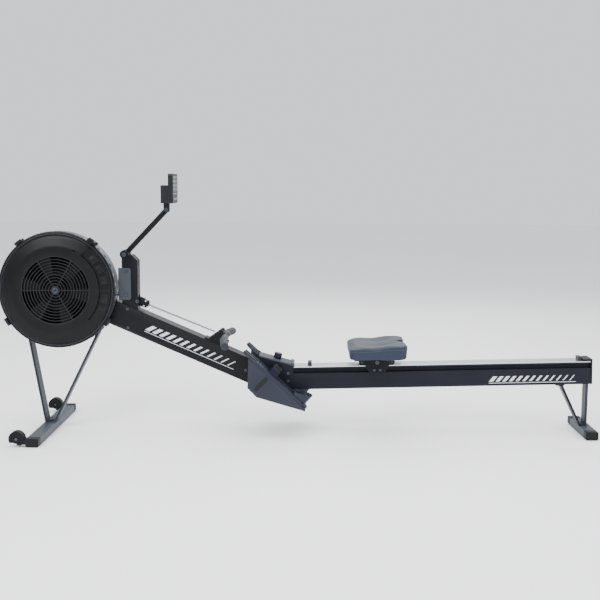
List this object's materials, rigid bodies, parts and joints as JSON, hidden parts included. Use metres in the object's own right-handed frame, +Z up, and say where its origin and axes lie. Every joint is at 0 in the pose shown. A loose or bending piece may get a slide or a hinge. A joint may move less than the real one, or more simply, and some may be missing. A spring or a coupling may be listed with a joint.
{
  "type": "rowing machine",
  "caption": "Air-resistance rowing machine: caged fan on a splayed front stand, sloping beam with chain handle, foot rests, and a rolling seat on a long steel-topped rail.",
  "frame": {"origin": "centre of the machine's footprint box, on the floor", "axes": "+X towards the rear end of the seat rail, +Z up, +Y to the far side, opposite the fan's air intake"},
  "size_m": [2.447, 0.611, 1.0689],
  "materials": {
    "black_frame": "satin",
    "grey_frame": "satin",
    "leg_grey": "satin",
    "plate_grey": "satin",
    "band_mesh": "satin",
    "cover_plastic": "textured",
    "dark_plastic": "textured",
    "fan_steel": "satin",
    "steel": "brushed",
    "bolt_steel": "bright",
    "chain_steel": "bright",
    "nylon": "satin",
    "monitor_plastic": "satin",
    "screen": "gloss",
    "button_plastic": "satin",
    "grip_rubber": "matte",
    "foot_plastic": "textured",
    "strap_web": "woven",
    "rail_paint": "satin",
    "track_steel": "brushed",
    "knob_plastic": "satin",
    "seat_foam": "matte",
    "roller_rubber": "matte",
    "wheel_rubber": "matte"
  },
  "bodies": {
    "frame": {"main_beam": "black_frame", "frame_arm": "black_frame", "mast": "black_frame", "adapter_plate": "plate_grey", "front_leg": "leg_grey", "crossbars": "grey_frame", "end_caps": "dark_plastic", "wheel_axles": "bolt_steel", "fan_band": "band_mesh", "near_cover": "cover_plastic", "intake_grille": "cover_plastic", "hub_cap": "bolt_steel", "far_cover": "cover_plastic", "cover_clips": "dark_plastic", "bearings": "steel", "inner_chain": "chain_steel", "handle_hook": "dark_plastic", "foot_boxes": "foot_plastic", "foot_boards": "foot_plastic", "foot_straps": "strap_web", "rail": "rail_paint", "rail_track": "track_steel", "rail_socket": "rail_paint", "socket_cover": "plate_grey", "rail_end_cap": "dark_plastic", "seat_stops": "roller_rubber", "rear_leg": "leg_grey", "frame_bolts": "bolt_steel"},
    "fan": {"fan_wheel": "fan_steel", "fan_shaft": "steel"},
    "sprocket": {"sprocket": "steel"},
    "damper": {"damper_ring": "dark_plastic", "damper_lever": "dark_plastic"},
    "arm": {"monitor_arm": "black_frame"},
    "monitor": {"monitor_back": "monitor_plastic", "monitor_housing": "monitor_plastic", "screen_lens": "screen", "tilt_bolt": "bolt_steel"},
    "button_left": {"button_left": "button_plastic"},
    "button_middle": {"button_middle": "button_plastic"},
    "button_right": {"button_right": "button_plastic"},
    "guide": {"chain_guide": "black_frame", "guide_pads": "nylon", "pull_chain": "chain_steel"},
    "handle": {"handle_bar": "steel", "handle_grips": "grip_rubber", "chain_clevis": "dark_plastic"},
    "seat": {"seat_pad": "seat_foam", "seat_base": "dark_plastic", "carriage_plates": "black_frame", "carriage_axles": "bolt_steel"},
    "upper_rollers_front": {"upper_rollers_front": "roller_rubber"},
    "upper_rollers_rear": {"upper_rollers_rear": "roller_rubber"},
    "lower_rollers_front": {"lower_rollers_front": "roller_rubber"},
    "lower_rollers_rear": {"lower_rollers_rear": "roller_rubber"},
    "heel_cup_left": {"heel_cup_left": "foot_plastic"},
    "heel_cup_right": {"heel_cup_right": "foot_plastic"},
    "wheel_left": {"wheel_left": "wheel_rubber"},
    "wheel_right": {"wheel_right": "wheel_rubber"},
    "lock_knob": {"lock_knob": "knob_plastic"}
  },
  "joints": [
    {"name": "fan_spin", "type": "hinge", "parent": "frame", "child": "fan", "pos_m": [-0.985, 0, 0.597], "axis": [0, 1, 0], "continuous": true},
    {"name": "sprocket_spin", "type": "hinge", "parent": "frame", "child": "sprocket", "pos_m": [-0.985, 0, 0.597], "axis": [0, 1, 0], "range_deg": [-60, 2000]},
    {"name": "damper_turn", "type": "hinge", "parent": "frame", "child": "damper", "pos_m": [-0.985, 0, 0.597], "axis": [0, 1, 0], "range_deg": [0, 84]},
    {"name": "arm_fold", "type": "hinge", "parent": "frame", "child": "arm", "pos_m": [-0.7176, 0, 0.7388], "axis": [0, 1, 0], "range_deg": [-15, 35]},
    {"name": "monitor_tilt", "type": "hinge", "parent": "arm", "child": "monitor", "pos_m": [-0.54445, 0, 0.9219], "axis": [0, 1, 0], "range_deg": [-30, 20]},
    {"name": "button_left_press", "type": "slide", "parent": "monitor", "child": "button_left", "axis": [-1, 0, 0], "range_m": [0, 0.0015], "stiffness_N_per_m": 400},
    {"name": "button_middle_press", "type": "slide", "parent": "monitor", "child": "button_middle", "axis": [-1, 0, 0], "range_m": [0, 0.0015], "stiffness_N_per_m": 400},
    {"name": "button_right_press", "type": "slide", "parent": "monitor", "child": "button_right", "axis": [-1, 0, 0], "range_m": [0, 0.0015], "stiffness_N_per_m": 400},
    {"name": "chain_swing", "type": "hinge", "parent": "frame", "child": "guide", "pos_m": [-0.666, 0, 0.546], "axis": [0, -1, 0], "range_deg": [-1, 36]},
    {"name": "handle_pull", "type": "slide", "parent": "guide", "child": "handle", "axis": [0.9245, 0, -0.3811], "range_m": [0, 0.95], "deforming": ["pull_chain"]},
    {"name": "seat_slide", "type": "slide", "parent": "frame", "child": "seat", "axis": [0.9997, 0, 0.0264], "range_m": [-0.17, 0.72]},
    {"name": "upper_rollers_front_roll", "type": "hinge", "parent": "seat", "child": "upper_rollers_front", "pos_m": [0.26368, 0, 0.29824], "axis": [0, 1, 0], "range_deg": [-776, 3218]},
    {"name": "upper_rollers_rear_roll", "type": "hinge", "parent": "seat", "child": "upper_rollers_rear", "pos_m": [0.38764, 0, 0.30151], "axis": [0, 1, 0], "range_deg": [-776, 3218]},
    {"name": "lower_rollers_front_roll", "type": "hinge", "parent": "seat", "child": "lower_rollers_front", "pos_m": [0.3145, 0, 0.26757], "axis": [0, 1, 0], "range_deg": [-5177, 1238]},
    {"name": "lower_rollers_rear_roll", "type": "hinge", "parent": "seat", "child": "lower_rollers_rear", "pos_m": [0.3385, 0, 0.2682], "axis": [0, 1, 0], "range_deg": [-5177, 1238]},
    {"name": "heel_cup_left_slide", "type": "slide", "parent": "frame", "child": "heel_cup_left", "axis": [0.7396, 0, -0.673], "range_m": [-0.06, 0.01]},
    {"name": "heel_cup_right_slide", "type": "slide", "parent": "frame", "child": "heel_cup_right", "axis": [0.7396, 0, -0.673], "range_m": [-0.06, 0.01]},
    {"name": "wheel_left_roll", "type": "hinge", "parent": "frame", "child": "wheel_left", "pos_m": [-1.1, -0.288, 0.033], "axis": [0, 1, 0], "continuous": true},
    {"name": "wheel_right_roll", "type": "hinge", "parent": "frame", "child": "wheel_right", "pos_m": [-1.1, 0.288, 0.033], "axis": [0, 1, 0], "continuous": true},
    {"name": "lock_knob_turn", "type": "hinge", "parent": "frame", "child": "lock_knob", "pos_m": [-0.088, 0, 0.30585], "axis": [0.2521, 0, 0.9677], "range_deg": [-30, 720]}
  ],
  "couplings": [
    {"joint": "chain_swing", "follows": "handle_pull", "rad_per_m": 0.64},
    {"joint": "sprocket_spin", "follows": "handle_pull", "rad_per_m": 35.043},
    {"joint": "upper_rollers_front_roll", "follows": "seat_slide", "rad_per_m": 77.519},
    {"joint": "upper_rollers_rear_roll", "follows": "seat_slide", "rad_per_m": 77.519},
    {"joint": "lower_rollers_front_roll", "follows": "seat_slide", "rad_per_m": -125},
    {"joint": "lower_rollers_rear_roll", "follows": "seat_slide", "rad_per_m": -125}
  ]
}
